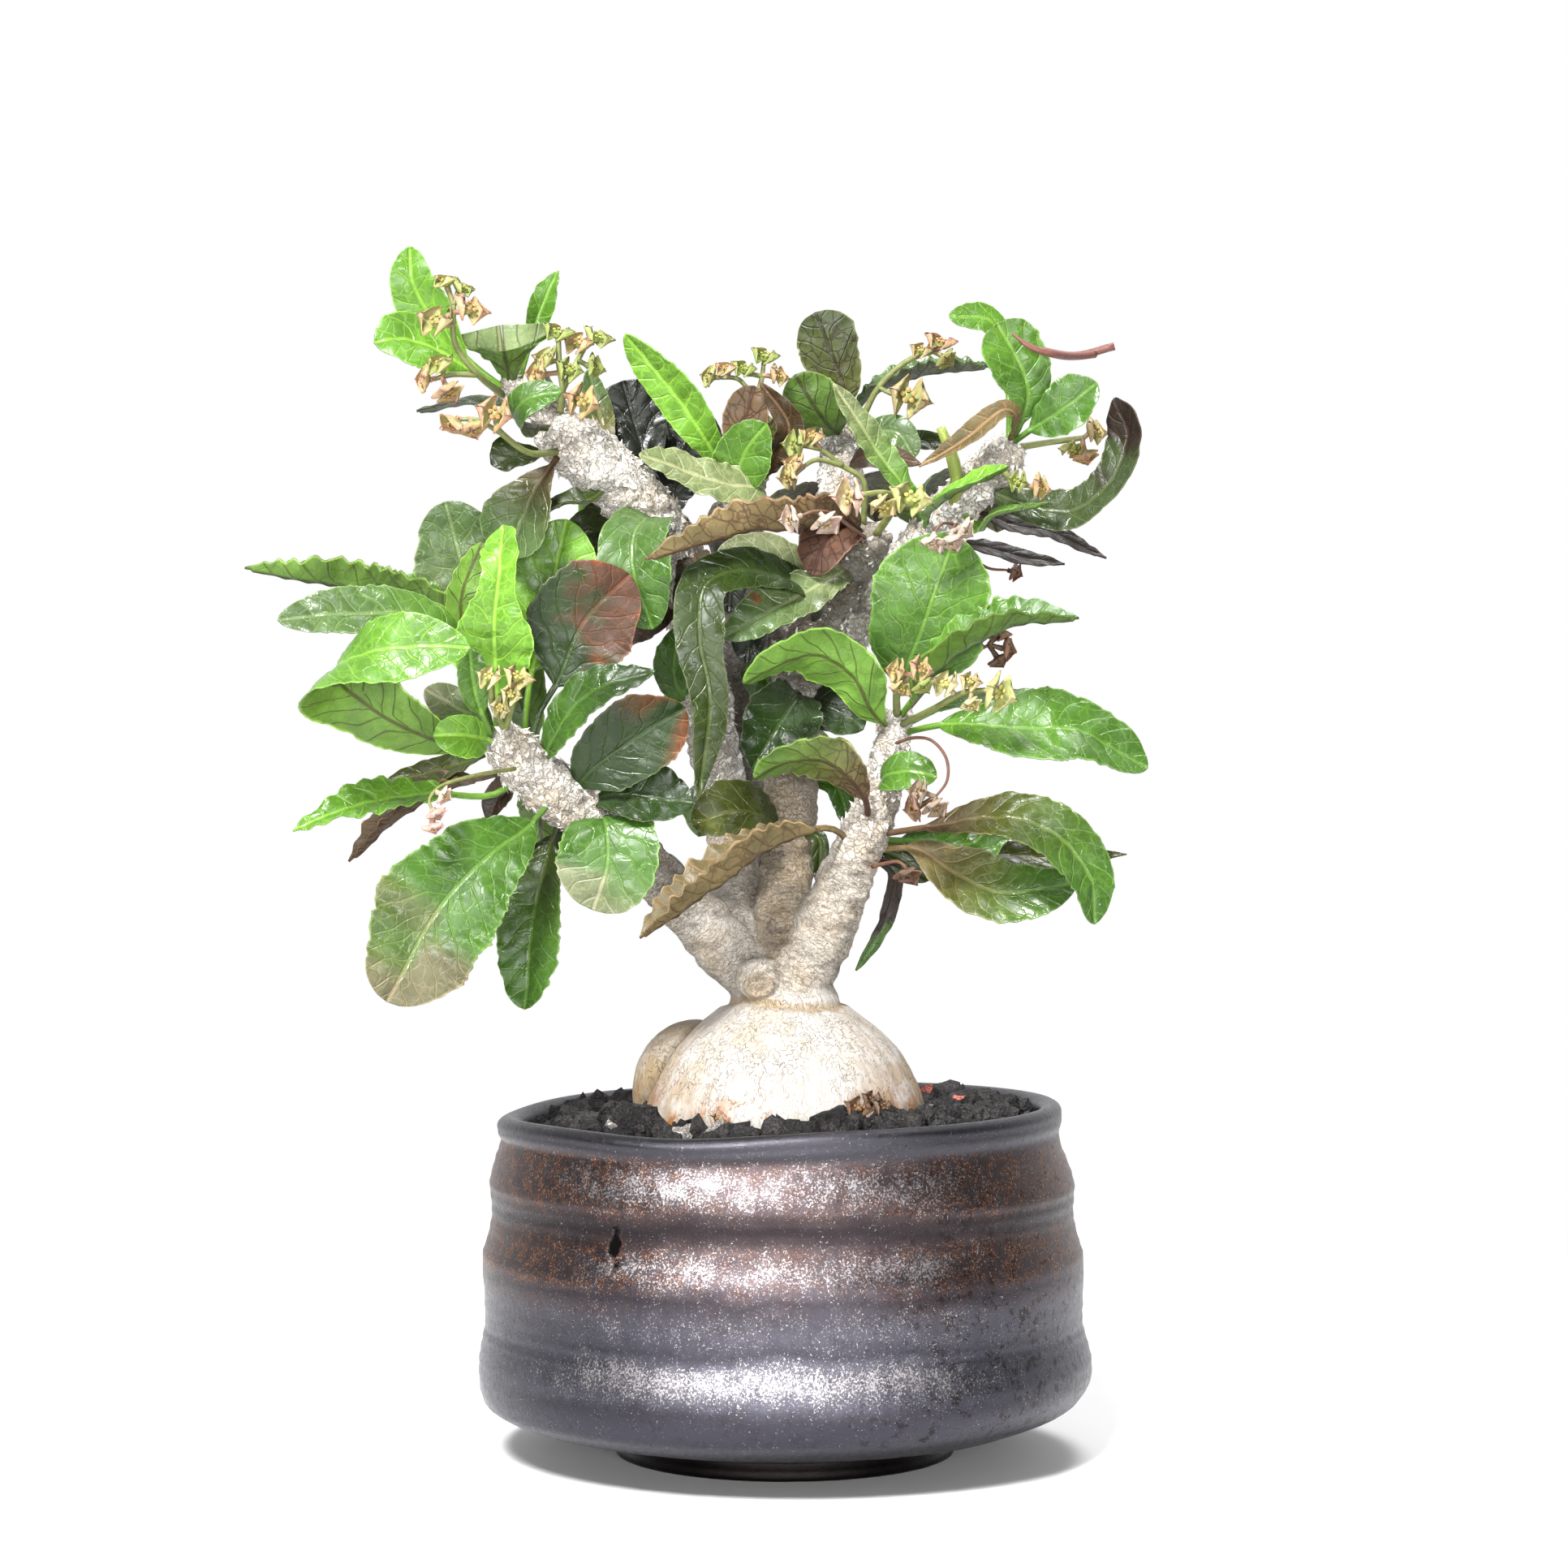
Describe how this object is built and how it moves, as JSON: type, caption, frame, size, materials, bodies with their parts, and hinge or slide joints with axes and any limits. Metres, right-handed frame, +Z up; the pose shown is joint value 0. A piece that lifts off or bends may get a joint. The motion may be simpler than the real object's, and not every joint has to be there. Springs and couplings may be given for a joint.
{
  "type": "potted euphorbia",
  "caption": "Caudiciform euphorbia with a swollen pale base, knobbly limbs, crinkled leaves and small blooms, in a dark ribbed hand-thrown pot.",
  "frame": {"origin": "centre of the part's bounding box in plan, at the level that the pot's foot ring stands on; the pot's own axis is at x 16.2 mm, y -4.6 mm, because the plant leans to the left", "axes": "+Z up, -Y towards the front, +X to the right as seen from the front"},
  "size_m": [0.1726, 0.1286, 0.2346],
  "materials": {
    "dark_glaze": "satin",
    "lava_grit": "matte",
    "pale_bark": "matte",
    "leaves": "satin",
    "blooms": "matte",
    "dry_blooms": "matte"
  },
  "bodies": {
    "root": {"pot": "dark_glaze", "soil": "lava_grit", "caudex": "pale_bark", "leafy_stem_left": "leaves", "leafy_stem_top_left": "leaves", "leafy_stem_front": "leaves", "leafy_stem_right": "leaves", "leafy_stem_rear": "leaves", "leafy_stem_inner": "leaves", "leafy_stem_back": "leaves", "leafy_stem_upper_right": "leaves", "spray_top_left_upper": "blooms", "spray_top_left_front": "blooms", "spray_top_left_right": "blooms", "spray_left": "blooms", "spray_left_hanging": "blooms", "spray_back_left": "blooms", "spray_back_right": "blooms", "spray_front": "blooms", "spray_front_left": "blooms", "spray_upper_right": "blooms", "spray_upper_right_low": "blooms", "spray_right_upper": "blooms", "spray_right": "blooms", "dry_spray_right": "dry_blooms", "dry_spray_centre": "dry_blooms", "dry_spray_front": "dry_blooms", "dry_spray_loops": "dry_blooms", "dry_spray_low": "dry_blooms", "dry_spray_outer": "dry_blooms"}
  },
  "joints": []
}
